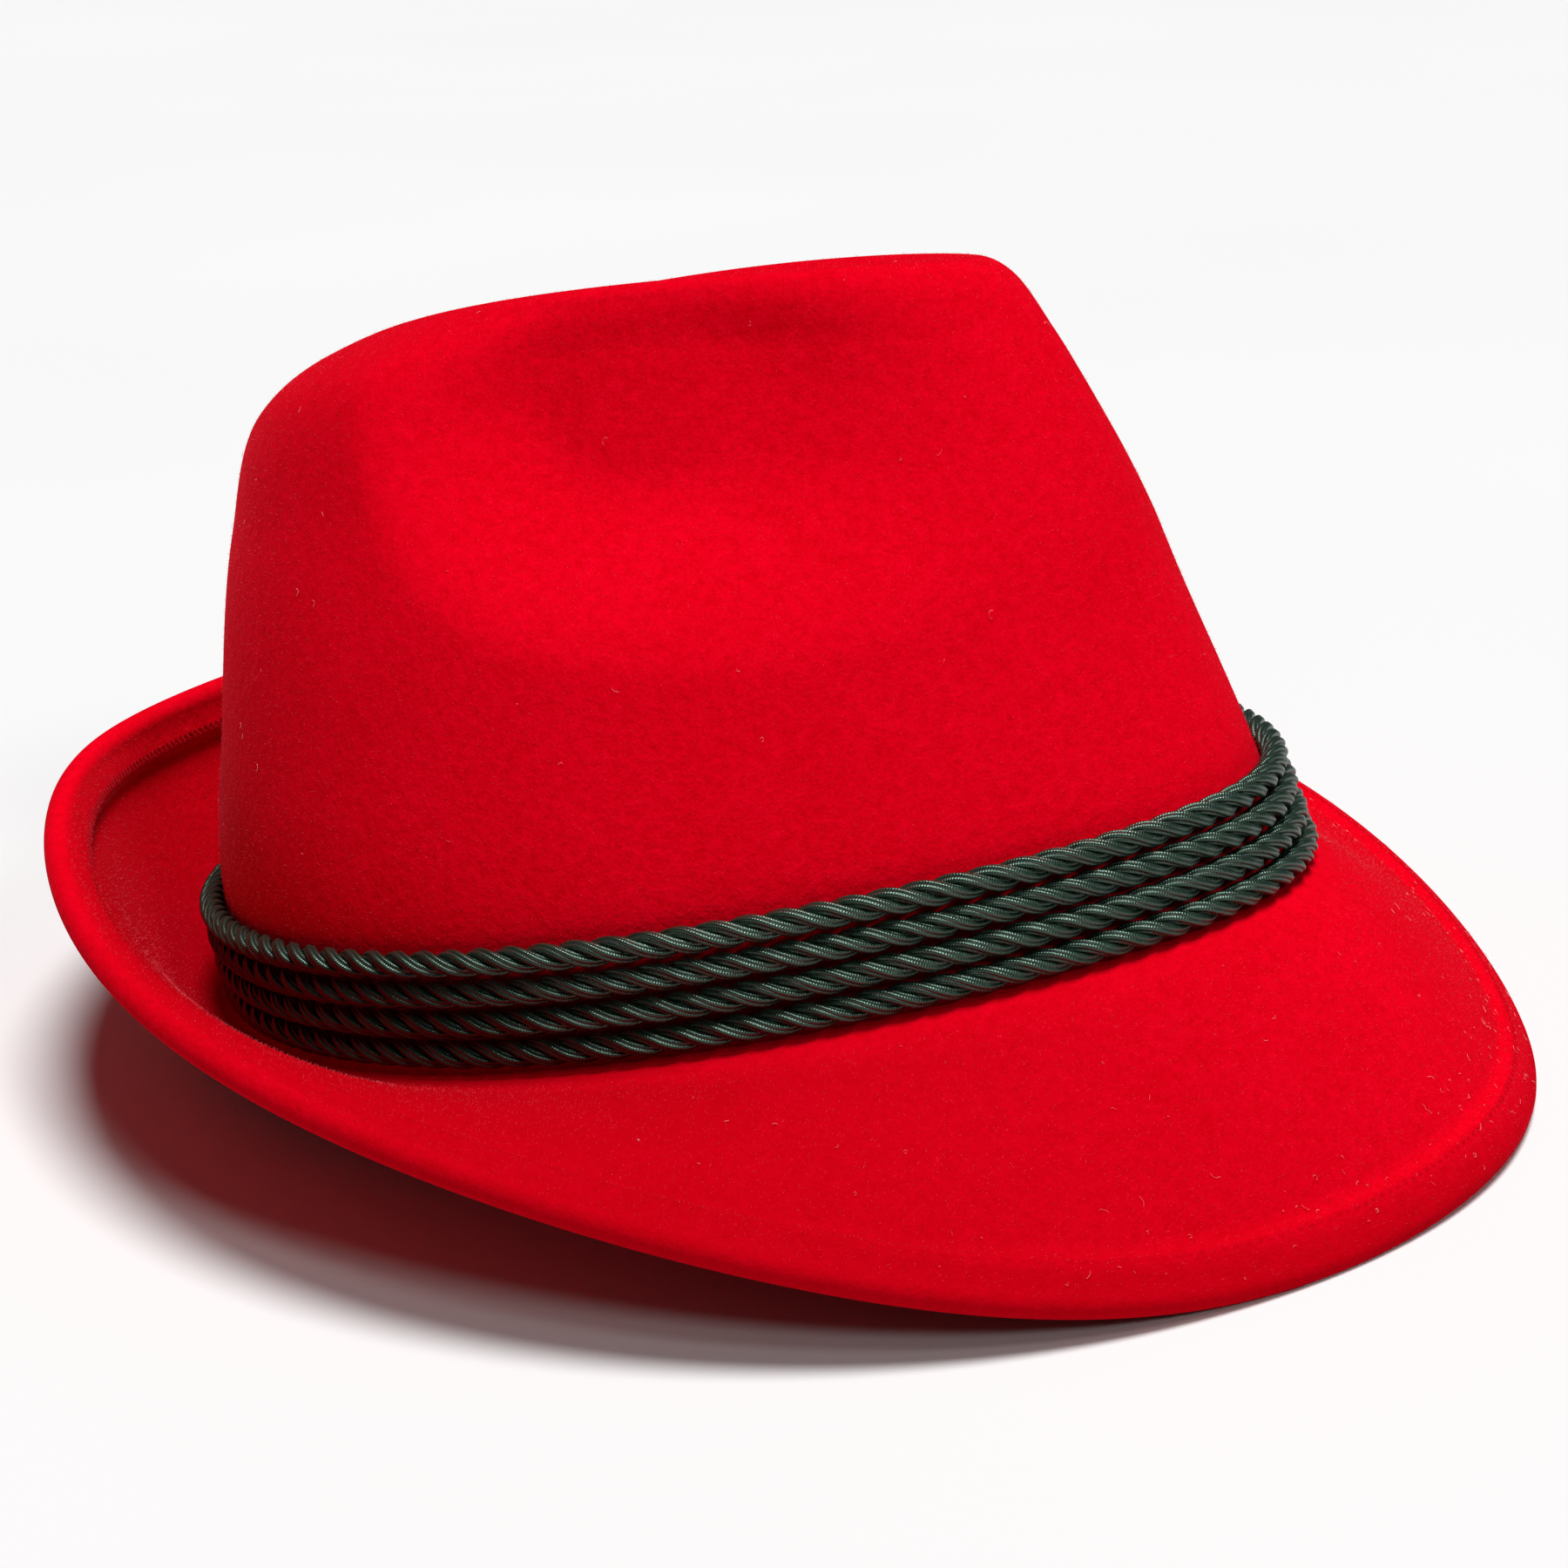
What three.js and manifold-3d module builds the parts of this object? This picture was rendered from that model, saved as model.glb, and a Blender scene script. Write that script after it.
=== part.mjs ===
// Red felt trilby with four twisted cords round the foot of its crown.
// Millimetres, +Z up. The hat rests by itself on the floor at Z = 0: on the front edge of its
// brim and on the rear of the break where crown and brim meet.
import * as THREE from 'three';
import Module from 'manifold-3d';

const wasm = await Module();
wasm.setup();
const { Manifold, Mesh } = wasm;

// ---------------------------------------------------------------- driving dimensions

// Shaping frame: Z runs up the crown with 0 at the break, the front is -Y, the wearer's
// left is +X. Angle 0 is the front of the hat, 90 degrees its side and 180 its back.
const FELT_WALL = 2.5;
const REST_TILT = THREE.MathUtils.degToRad(11.3);  // front of the hat raised at rest
const FLOOR_PRESS = 0.5;                           // depth that the felt flattens at the floor

// One row for each level of the crown, from the crease in its top down to the cords.
// Y at front and back, half width X at the sides and the Y of that widest place, the
// height at front, side and back, and how square (above 0) or pointed the outline is.
// steps is the number of mesh strips down to the next row.
const CROWN_ROWS = [
  { frontY: -51.5, backY: 24, sideX: 0, wideY: -6, frontZ: 102, sideZ: 99, backZ: 104, square: 0, steps: 1 },
  { frontY: -54.5, backY: 30, sideX: 8, wideY: -6, frontZ: 104.5, sideZ: 102, backZ: 106.5, square: 0, steps: 1 },
  { frontY: -58.5, backY: 36.5, sideX: 16.5, wideY: -5, frontZ: 108, sideZ: 108.5, backZ: 109.5, square: 0, steps: 1 },
  { frontY: -63, backY: 43, sideX: 25, wideY: -5, frontZ: 109, sideZ: 112.5, backZ: 110.5, square: 0, steps: 1 },
  { frontY: -69.5, backY: 61, sideX: 37, wideY: -3.5, frontZ: 106, sideZ: 110, backZ: 107, square: -0.01, steps: 1 },
  { frontY: -75.5, backY: 76, sideX: 50.5, wideY: -2, frontZ: 95.5, sideZ: 103, backZ: 98.5, square: -0.03, steps: 2 },
  { frontY: -82, backY: 85.5, sideX: 62.5, wideY: 1.5, frontZ: 77.5, sideZ: 80, backZ: 79.5, square: -0.04, steps: 3 },
  { frontY: -88.5, backY: 94.5, sideX: 74, wideY: 4, frontZ: 49.5, sideZ: 53.5, backZ: 48, square: -0.05, steps: 2 },
  { frontY: -96.5, backY: 100.5, sideX: 82.5, wideY: 6, frontZ: 19, sideZ: 19, backZ: 19, square: -0.055, steps: 1 },
  { frontY: -100, backY: 99.5, sideX: 80.5, wideY: 5, frontZ: 3, sideZ: 3, backZ: 3, square: -0.05, steps: 1 },
];

// The top of the crown leans to its right: it drops by this much for each mm to the left,
// from nothing at the lower height to all of it at the upper one.
const CROWN_LEAN = { drop: 0.105, fromZ: 20, fullZ: 110 };

// A hollow pinched into each side of the crown, as an egg shape in the side view. tilt
// raises its back end, in degrees. flat is the share of its radius that keeps the full
// depth, and it fades in from startRow to fullRow of the crown.
const SIDE_DENT = {
  y: -17,
  z: 94,
  toFront: 76,
  toBack: 45,
  toTop: 58,
  toFoot: 34,
  tilt: 19,
  depth: 17,
  flat: 0.25,
  startRow: 3.3,
  fullRow: 5.5,
};

// One row for each section of the brim, 45 degrees apart from the front to the back.
// width and angle give the straight line from the break to the edge; root and edge are
// the slopes of the felt at both ends of that line. All angles are above the horizontal.
const BRIM_SECTIONS = [
  { width: 53, angle: -60.5, root: -36, edge: -72 },
  { width: 53.5, angle: -42, root: -26, edge: -58 },
  { width: 41, angle: 13, root: -8, edge: -15 },
  { width: 46.5, angle: 60.5, root: 5, edge: 55 },
  { width: 48, angle: 70.5, root: 10, edge: 92 },
];
const ROOT_OUT = 4;            // from the crown wall to the break line of the brim
const ROOT_REACH = 0.24;       // share of the width over which the root slope holds
const EDGE_REACH = 0.34;       // share of the width over which the edge slope holds

// The edge of the brim is folded over its upper side and stitched down as a welt.
const WELT_WIDTH = 7.5;
const WELT_RISE = 2;
const EDGE_RADIUS = 2.4;
const BRIM_STEPS = 6;
const EDGE_STEPS = 3;
const FILLET_STEPS = 2;
const COLUMNS = 72;

// Four cords lie one above the other round the foot of the crown.
const CORD_COUNT = 4;
const CORD_RADIUS = 2.2;
const CORD_GAP = 0.35;
const CORD_LOWEST_Z = 3.8;
const CORD_PITCH = { front: 4.75, side: 5.3, back: 4.75 };
const CORD_STEPS = 60;
const CORD_SIDES = 8;

// ---------------------------------------------------------------- curves round the hat

// A value at angle t round the hat from its values at the front, side and back.
function around(front, side, back, t) {
  const ends = (front + back) / 2;
  return (ends + side) / 2 + ((front - back) / 2) * Math.cos(t) + ((ends - side) / 2) * Math.cos(2 * t);
}

// A value at angle t from one value in each brim section, as an even cosine series.
function aroundSections(key, t) {
  const last = BRIM_SECTIONS.length - 1;
  const halved = (i) => (i === 0 || i === last ? 0.5 : 1);
  let sum = 0;
  for (let k = 0; k <= last; k++) {
    let coefficient = 0;
    BRIM_SECTIONS.forEach((section, j) => {
      coefficient += halved(j) * section[key] * Math.cos((Math.PI * j * k) / last);
    });
    sum += halved(k) * (2 / last) * coefficient * Math.cos(k * t);
  }
  return sum;
}

function ringPoint(row, t) {
  const x = (row.sideX * (Math.sin(t) + row.square * Math.sin(3 * t))) / (1 - row.square);
  const y = around(row.frontY, row.wideY, row.backY, t);
  const z = around(row.frontZ, row.sideZ, row.backZ, t);
  return new THREE.Vector3(x, y, z);
}

// Outward direction in plan of the outline of a row at angle t.
function ringOutward(row, t) {
  const step = 0.01;
  const along = ringPoint(row, t + step).sub(ringPoint(row, t - step));
  return new THREE.Vector3(along.y, -along.x, 0).normalize();
}

// ---------------------------------------------------------------- felt: outer skin

const ROW_KEYS = ['frontY', 'backY', 'sideX', 'wideY', 'frontZ', 'sideZ', 'backZ', 'square'];

// Distance down the crown from row to row, averaged over its front, side and back.
function rowDistances() {
  const places = CROWN_ROWS.map((row) => [0, Math.PI / 2, Math.PI].map((t) => ringPoint(row, t)));
  const distances = [0];
  for (let i = 1; i < places.length; i++) {
    const step = places[i].reduce((sum, p, k) => sum + p.distanceTo(places[i - 1][k]), 0) / 3;
    distances.push(distances[i - 1] + step);
  }
  return distances;
}

const ROW_AT = rowDistances();

// Slope of one column of the row table at row i, weighted by the distances on both sides.
function rowSlope(key, i) {
  const last = CROWN_ROWS.length - 1;
  const rate = (a) => (CROWN_ROWS[a + 1][key] - CROWN_ROWS[a][key]) / (ROW_AT[a + 1] - ROW_AT[a]);
  if (i === 0) return rate(0);
  if (i === last) return rate(last - 1);
  const before = ROW_AT[i] - ROW_AT[i - 1];
  const after = ROW_AT[i + 1] - ROW_AT[i];
  return (rate(i - 1) * after + rate(i) * before) / (before + after);
}

// The row that lies the fraction u of the way from row i to row i + 1, on a smooth curve.
function rowBetween(i, u) {
  const span = ROW_AT[i + 1] - ROW_AT[i];
  const row = {};
  for (const key of ROW_KEYS) {
    const a = CROWN_ROWS[i][key];
    const b = CROWN_ROWS[i + 1][key];
    const slopeA = rowSlope(key, i) * span;
    const slopeB = rowSlope(key, i + 1) * span;
    row[key] = a + u * slopeA + u * u * (3 * (b - a) - 2 * slopeA - slopeB)
      + u * u * u * (2 * (a - b) + slopeA + slopeB);
  }
  return row;
}

// How far the side dent draws a point of the crown in towards the middle.
function dentDepth(point, rowNumber) {
  const tilt = THREE.MathUtils.degToRad(SIDE_DENT.tilt);
  const dy = point.y - SIDE_DENT.y;
  const dz = point.z - SIDE_DENT.z;
  const along = dy * Math.cos(tilt) + dz * Math.sin(tilt);
  const upward = dz * Math.cos(tilt) - dy * Math.sin(tilt);
  const a = along / (along < 0 ? SIDE_DENT.toFront : SIDE_DENT.toBack);
  const b = upward / (upward < 0 ? SIDE_DENT.toFoot : SIDE_DENT.toTop);
  const bowl = 1 - THREE.MathUtils.smoothstep(Math.hypot(a, b), SIDE_DENT.flat, 1);
  const fade = THREE.MathUtils.smoothstep(rowNumber, SIDE_DENT.startRow, SIDE_DENT.fullRow);
  return SIDE_DENT.depth * bowl * fade;
}

function crownPoint(row, rowNumber, t) {
  const point = ringPoint(row, t);
  const side = THREE.MathUtils.clamp(point.x / 12, -1, 1);
  point.x -= side * dentDepth(point, rowNumber);
  const lean = THREE.MathUtils.smoothstep(point.z, CROWN_LEAN.fromZ, CROWN_LEAN.fullZ);
  point.z -= CROWN_LEAN.drop * lean * point.x;
  return point;
}

function bezier(p, u) {
  const v = 1 - u;
  const weights = [v * v * v, 3 * v * v * u, 3 * v * u * u, u * u * u];
  return p.reduce((sum, q, k) => sum.addScaledVector(q, weights[k]), new THREE.Vector2());
}

const polar = (length, degrees) => {
  const angle = THREE.MathUtils.degToRad(degrees);
  return new THREE.Vector2(length * Math.cos(angle), length * Math.sin(angle));
};

// Profile of fillet and brim at angle t, as distance out from the crown wall and height.
function brimProfile(t) {
  const width = aroundSections('width', t);
  const rootSlope = aroundSections('root', t);
  const foot = CROWN_ROWS.at(-1).frontZ;
  const root = new THREE.Vector2(ROOT_OUT, 0);
  const edge = root.clone().add(polar(width, aroundSections('angle', t)));
  const fillet = [
    new THREE.Vector2(0, foot),
    new THREE.Vector2(0, foot * 0.1),
    root.clone().sub(polar(ROOT_OUT * 0.6, rootSlope)),
    root,
  ];
  const brim = [
    root,
    root.clone().add(polar(width * ROOT_REACH, rootSlope)),
    edge.clone().sub(polar(width * EDGE_REACH, aroundSections('edge', t))),
    edge,
  ];
  return { fillet, brim, width };
}

// Rows of the outer skin: each is a function of the angle, with the height of the welt
// above the plain felt there.
function skinRows() {
  const rows = [];
  CROWN_ROWS.slice(0, -1).forEach((row, i) => {
    for (let k = 0; k < row.steps; k++) {
      const u = k / row.steps;
      const between = rowBetween(i, u);
      rows.push({ at: (t) => crownPoint(between, i + u, t), rise: 0 });
    }
  });
  const foot = CROWN_ROWS.at(-1);
  const placed = (pick) => (t) => {
    const flat = pick(brimProfile(t));
    const point = ringPoint(foot, t).addScaledVector(ringOutward(foot, t), flat.x);
    point.z = flat.y;
    return point;
  };
  for (let k = 0; k < FILLET_STEPS; k++) {
    rows.push({ at: placed(({ fillet }) => bezier(fillet, k / FILLET_STEPS)), rise: 0 });
  }
  const weltShare = ({ width }) => 1 - WELT_WIDTH / width;
  for (let k = 0; k <= BRIM_STEPS; k++) {
    rows.push({ at: placed((p) => bezier(p.brim, (weltShare(p) * k) / BRIM_STEPS)), rise: 0 });
  }
  for (const [share, rise] of [[0.12, WELT_RISE], [0.6, WELT_RISE], [1, EDGE_RADIUS]]) {
    const along = (p) => weltShare(p) + (1 - weltShare(p)) * share;
    rows.push({ at: placed((p) => bezier(p.brim, along(p))), rise });
  }
  return rows;
}

// ---------------------------------------------------------------- felt: closed solid

const angleOf = (column) => (2 * Math.PI * column) / COLUMNS;

// Unit normals of a grid of points that closes round its columns. The first row is the
// crease line, where the columns on the left and right of the hat meet.
function gridNormals(grid) {
  const half = COLUMNS / 2;
  return grid.map((row, i) => row.map((_, j) => {
    const side = { 0: 1, [half]: half - 1 }[j] ?? j;
    const across = i === 0
      ? grid[1][side].clone().sub(grid[1][COLUMNS - side])
      : grid[Math.min(i + 1, grid.length - 1)][j].clone().sub(grid[i - 1][j]);
    const next = row[(j + 1) % COLUMNS];
    const along = next.clone().sub(row[(j + COLUMNS - 1) % COLUMNS]);
    if (i === 0) {
      along.set(0, Math.sin(angleOf(j)) >= 0 ? 1 : -1, 0);
    }
    return across.cross(along).normalize();
  }));
}

function offsetGrid(grid, normals, distanceOf) {
  return grid.map((row, i) => row.map((point, j) => (
    point.clone().addScaledVector(normals[i][j], distanceOf(i))
  )));
}

// Rows that carry the rounded edge of the brim from its upper side to its underside.
function edgeRows(centres, normals) {
  const last = centres.length - 1;
  const rows = [];
  for (let k = 1; k < EDGE_STEPS; k++) {
    const turn = (Math.PI * k) / EDGE_STEPS;
    rows.push(centres[last].map((point, j) => {
      const outward = point.clone().sub(centres[last - 1][j]).normalize();
      return point.clone()
        .addScaledVector(outward, EDGE_RADIUS * Math.sin(turn))
        .addScaledVector(normals[last][j], EDGE_RADIUS * Math.cos(turn));
    }));
  }
  return rows;
}

// A closed mesh from rows of points. Its first and last rows are lines on X = 0, so a
// point there is shared by the columns on the left and right of the hat.
function closedMesh(rows) {
  const positions = [];
  const index = new Map();
  const vertex = (i, j) => {
    const seam = i === 0 || i === rows.length - 1;
    const column = seam ? Math.min(j % COLUMNS, COLUMNS - (j % COLUMNS)) : j % COLUMNS;
    const key = i * COLUMNS + column;
    if (!index.has(key)) {
      index.set(key, positions.length / 3);
      const point = rows[i][column];
      positions.push(seam ? 0 : point.x, point.y, point.z);
    }
    return index.get(key);
  };
  const triangles = [];
  const face = (a, b, c) => {
    if (a !== b && b !== c && c !== a) triangles.push(a, b, c);
  };
  for (let i = 0; i + 1 < rows.length; i++) {
    for (let j = 0; j < COLUMNS; j++) {
      const a = vertex(i, j);
      const b = vertex(i, j + 1);
      const c = vertex(i + 1, j + 1);
      const d = vertex(i + 1, j);
      face(a, c, b);
      face(a, d, c);
    }
  }
  const geometry = new THREE.BufferGeometry();
  geometry.setAttribute('position', new THREE.Float32BufferAttribute(positions, 3));
  geometry.setIndex(triangles);
  return geometry;
}

function feltShell() {
  const skin = skinRows();
  const base = skin.map((row) => Array.from({ length: COLUMNS }, (_, j) => row.at(angleOf(j))));
  const normals = gridNormals(base);
  const upper = offsetGrid(base, normals, (i) => skin[i].rise);
  const weltRows = skin.filter((row) => row.rise > 0).length;
  const plainRows = base.length - weltRows;
  const lowerOffset = (i) => (i === base.length - 1 ? -EDGE_RADIUS : -FELT_WALL);
  const lower = offsetGrid(base, normals, lowerOffset);
  const underRows = lower.filter((_, i) => i <= plainRows || i === base.length - 1);
  return closedMesh([...upper, ...edgeRows(base, normals), ...underRows.reverse()]);
}

// ---------------------------------------------------------------- cords

// Centre line of a cord at angle t: it lies against the crown wall at its own height.
function cordCentre(number, t) {
  const pitch = around(CORD_PITCH.front, CORD_PITCH.side, CORD_PITCH.back, t);
  const z = CORD_LOWEST_Z + number * pitch;
  const [top, foot] = CROWN_ROWS.slice(-2);
  const share = THREE.MathUtils.clamp((top.frontZ - z) / (top.frontZ - foot.frontZ), 0, 1);
  const wall = ringPoint(top, t).lerp(ringPoint(foot, t), share);
  wall.addScaledVector(ringOutward(foot, t), CORD_RADIUS + CORD_GAP);
  wall.z = z;
  return wall;
}

// A closed loop of round section along a closed centre line.
function loopGeometry(centreAt, radius) {
  const positions = [];
  const triangles = [];
  for (let i = 0; i < CORD_STEPS; i++) {
    const t = (2 * Math.PI * i) / CORD_STEPS;
    const centre = centreAt(t);
    const along = centreAt(t + 0.01).sub(centreAt(t - 0.01)).normalize();
    const out = along.clone().cross(new THREE.Vector3(0, 0, 1)).normalize();
    const up = out.clone().cross(along);
    for (let j = 0; j < CORD_SIDES; j++) {
      const turn = (2 * Math.PI * (j + 0.5)) / CORD_SIDES;
      const point = centre.clone()
        .addScaledVector(out, radius * Math.cos(turn))
        .addScaledVector(up, radius * Math.sin(turn));
      positions.push(point.x, point.y, point.z);
      const a = i * CORD_SIDES + j;
      const b = i * CORD_SIDES + ((j + 1) % CORD_SIDES);
      const c = ((i + 1) % CORD_STEPS) * CORD_SIDES + ((j + 1) % CORD_SIDES);
      const d = ((i + 1) % CORD_STEPS) * CORD_SIDES + j;
      triangles.push(a, c, b, a, d, c);
    }
  }
  const geometry = new THREE.BufferGeometry();
  geometry.setAttribute('position', new THREE.Float32BufferAttribute(positions, 3));
  geometry.setIndex(triangles);
  return geometry;
}

// ---------------------------------------------------------------- resting on the floor

// Tips a shape of the shaping frame onto the brim and moves it to its place on the floor.
function restingMatrix(shell) {
  const tipped = shell.clone().rotateX(-REST_TILT);
  tipped.computeBoundingBox();
  const { min, max } = tipped.boundingBox;
  return new THREE.Matrix4()
    .makeTranslation(0, -(min.y + max.y) / 2, -min.z - FLOOR_PRESS)
    .multiply(new THREE.Matrix4().makeRotationX(-REST_TILT));
}

// Flattens a solid where it would reach below the floor.
function pressedOnFloor(geometry) {
  const solid = new Manifold(new Mesh({
    numProp: 3,
    vertProperties: new Float32Array(geometry.attributes.position.array),
    triVerts: new Uint32Array(geometry.index.array),
  }));
  const mesh = solid.trimByPlane([0, 0, 1], 0).getMesh();
  const pressed = new THREE.BufferGeometry();
  pressed.setAttribute('position', new THREE.Float32BufferAttribute(mesh.vertProperties, 3));
  pressed.setIndex(Array.from(mesh.triVerts));
  return pressed;
}

// ---------------------------------------------------------------- the hat

const felt = new THREE.MeshStandardMaterial({ color: 0xc40a1c, roughness: 0.95, metalness: 0 });
const cordGreen = new THREE.MeshStandardMaterial({ color: 0x1d3a31, roughness: 0.5, metalness: 0 });

function named(name, geometry, material) {
  geometry.computeVertexNormals();
  const mesh = new THREE.Mesh(geometry, material);
  mesh.name = name;
  return mesh;
}

const group = new THREE.Group();
const shell = feltShell();
const resting = restingMatrix(shell);
group.add(named('felt_body', pressedOnFloor(shell.applyMatrix4(resting)), felt));
for (let number = 0; number < CORD_COUNT; number++) {
  const loop = loopGeometry((t) => cordCentre(number, t), CORD_RADIUS).applyMatrix4(resting);
  group.add(named(`cord_${number + 1}`, loop, cordGreen.clone()));
}

export default group;
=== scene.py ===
import math

import bpy
import numpy as np
from mathutils import Matrix, Vector


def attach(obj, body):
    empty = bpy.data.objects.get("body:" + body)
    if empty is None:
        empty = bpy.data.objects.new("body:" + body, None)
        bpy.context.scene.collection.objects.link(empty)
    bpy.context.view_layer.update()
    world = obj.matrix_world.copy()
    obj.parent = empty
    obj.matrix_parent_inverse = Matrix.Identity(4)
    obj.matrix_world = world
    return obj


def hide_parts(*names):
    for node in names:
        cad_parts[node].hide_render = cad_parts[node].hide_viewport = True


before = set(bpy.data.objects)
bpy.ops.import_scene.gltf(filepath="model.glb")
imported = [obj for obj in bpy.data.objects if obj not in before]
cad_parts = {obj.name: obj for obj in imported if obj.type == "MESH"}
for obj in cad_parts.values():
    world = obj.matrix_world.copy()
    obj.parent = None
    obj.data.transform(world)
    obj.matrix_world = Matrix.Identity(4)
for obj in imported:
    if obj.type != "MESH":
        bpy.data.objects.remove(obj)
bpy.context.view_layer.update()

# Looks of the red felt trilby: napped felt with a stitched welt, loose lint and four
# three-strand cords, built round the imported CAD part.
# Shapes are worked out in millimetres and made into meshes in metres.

MM = 0.001
rng = np.random.default_rng(41)

# ---------------------------------------------------------------- driving dimensions
# The shaping frame is the CAD's: Z up the crown from the break, the front at -Y, the
# wearer's left at +X. Angle 0 is the front of the hat, 90 degrees its left side, 180 its
# back.

FELT_WALL = 2.5
REST_TILT = math.radians(11.3)
FLOOR_PRESS = 0.5

# front Y, back Y, half width X, Y of the widest place, height at front, side and back,
# and how square the outline is, from the crease in the top down to the cords
CROWN_ROWS = np.array([
    (-51.5, 24.0, 0.0, -6.0, 102.0, 99.0, 104.0, 0.0),
    (-54.5, 30.0, 8.0, -6.0, 104.5, 102.0, 106.5, 0.0),
    (-58.5, 36.5, 16.5, -5.0, 108.0, 108.5, 109.5, 0.0),
    (-63.0, 43.0, 25.0, -5.0, 109.0, 112.5, 110.5, 0.0),
    (-69.5, 61.0, 37.0, -3.5, 106.0, 110.0, 107.0, -0.01),
    (-75.5, 76.0, 50.5, -2.0, 95.5, 103.0, 98.5, -0.03),
    (-82.0, 85.5, 62.5, 1.5, 77.5, 80.0, 79.5, -0.04),
    (-88.5, 94.5, 74.0, 4.0, 49.5, 53.5, 48.0, -0.05),
    (-96.5, 100.5, 82.5, 6.0, 19.0, 19.0, 19.0, -0.055),
    (-100.0, 99.5, 80.5, 5.0, 3.0, 3.0, 3.0, -0.05),
])
FRONT_Z = 4                     # column of the height at the front
CROWN_LEAN = {"drop": 0.105, "from_z": 20, "full_z": 110}
# the pinch is at full depth from full_x out, and fades to nothing at the middle of the hat
SIDE_DENT = {
    "y": -17, "z": 94, "to_front": 76, "to_back": 45, "to_top": 58, "to_foot": 34,
    "tilt": 19, "depth": 17, "flat": 0.25, "start_row": 3.3, "full_row": 5.5, "full_x": 12,
}

# width, angle, slope at the root and slope at the edge, every 45 degrees from front to back
BRIM_SECTIONS = np.array([
    (53.0, -60.5, -36.0, -72.0),
    (53.5, -42.0, -26.0, -58.0),
    (41.0, 13.0, -8.0, -15.0),
    (46.5, 60.5, 5.0, 55.0),
    (48.0, 70.5, 10.0, 92.0),
])
WIDTH, ANGLE, ROOT, EDGE = range(4)
ROOT_OUT = 4
ROOT_REACH = 0.24
EDGE_REACH = 0.34
FILLET_DROP = 0.1               # height of the fillet's upper control, in parts of the foot's
FILLET_REACH = 0.6              # reach of its lower control, in parts of ROOT_OUT

WELT_WIDTH = 7.5
WELT_RISE = 2
WELT_STEP = (-0.4, 2.0)         # distances past the cut edge over which the welt rises
ROLL_START = 3.5                # distance from which it swells into the rounded edge
EDGE_RADIUS = 2.4
WELT_PLACES = (0.15, 0.4, 0.75, 1.2, 1.7, 2.2, 2.8, 3.5, 4.3, 5.2, 6.0, 6.8, WELT_WIDTH)
STITCHES = 360                  # round the edge of the brim
STITCH_LINE = 2.0               # from the cut edge of the welt

# Off the welt, the distance past its cut edge only tells the felt's parts from each other.
CREASE_PAST, BREAK_PAST, BRIM_PAST, UNDERSIDE_PAST = -200, -60, -40, 60

COLUMNS = 360
CROWN_STEPS = 100
FILLET_STEPS = 6
BRIM_STEPS = 26
EDGE_STEPS = 10

CORD_COUNT = 4
CORD_RADIUS = 2.2
CORD_GAP = 0.35
CORD_LOWEST_Z = 3.8
CORD_PITCH = (4.75, 5.3, 4.75)  # from cord to cord at the front, side and back
CORD_LEAD = 16.4                # length over which the strands turn once round the cord
CORD_STEPS = 800
STRANDS = 3
STRAND_SIDES = 30
STRAND_RADIUS = 1.12
STRAND_OFFSET = 1.25
YARNS = 5                       # yarns side by side in a strand, seen as lobes
YARN_LEAD = -30                 # the same for the yarns in a strand, which turn against it
LOBE_DEPTH = 0.17
LOBE_POWER = 0.7                # below 1, the furrows between the lobes are narrow
RIB_PITCH = 0.36                # of the thread wound round the yarns

# ---------------------------------------------------------------- shape of the felt


def smoothstep(x, low, high):
    u = np.clip((x - low) / (high - low), 0, 1)
    return u * u * (3 - 2 * u)


def unit(vectors):
    return vectors / np.linalg.norm(vectors, axis=-1, keepdims=True)


def around(front, side, back, t):
    """A value at angle t round the hat from its values at the front, side and back."""
    ends = (front + back) / 2
    even = (ends + side) / 2 + (front - back) / 2 * np.cos(t)
    return even + (ends - side) / 2 * np.cos(2 * t)


def around_sections(column, t):
    """A value at angle t from one value in each brim section, as an even cosine series."""
    values = BRIM_SECTIONS[:, column]
    last = len(values) - 1
    halved = np.array([0.5] + [1.0] * (last - 1) + [0.5])
    total = 0
    for k in range(last + 1):
        coefficient = (halved * values * np.cos(np.pi * np.arange(last + 1) * k / last)).sum()
        total = total + halved[k] * 2 / last * coefficient * np.cos(k * t)
    return total


def ring_points(row, t):
    front_y, back_y, side_x, wide_y, front_z, side_z, back_z, square = row
    x = side_x * (np.sin(t) + square * np.sin(3 * t)) / (1 - square)
    y = around(front_y, wide_y, back_y, t)
    return np.stack([x, y, around(front_z, side_z, back_z, t)], axis=-1)


def ring_outward(row, t):
    """Outward directions in plan of the outline of a row."""
    nudge = 0.01
    along = ring_points(row, t + nudge) - ring_points(row, t - nudge)
    return unit(np.stack([along[..., 1], -along[..., 0], np.zeros_like(t)], axis=-1))


def row_distances():
    """Distance down the crown from row to row, averaged over its front, side and back."""
    places = np.array([ring_points(row, np.array([0, np.pi / 2, np.pi])) for row in CROWN_ROWS])
    steps = np.linalg.norm(np.diff(places, axis=0), axis=2).mean(axis=1)
    return np.concatenate([[0], np.cumsum(steps)])


ROW_AT = row_distances()


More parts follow.
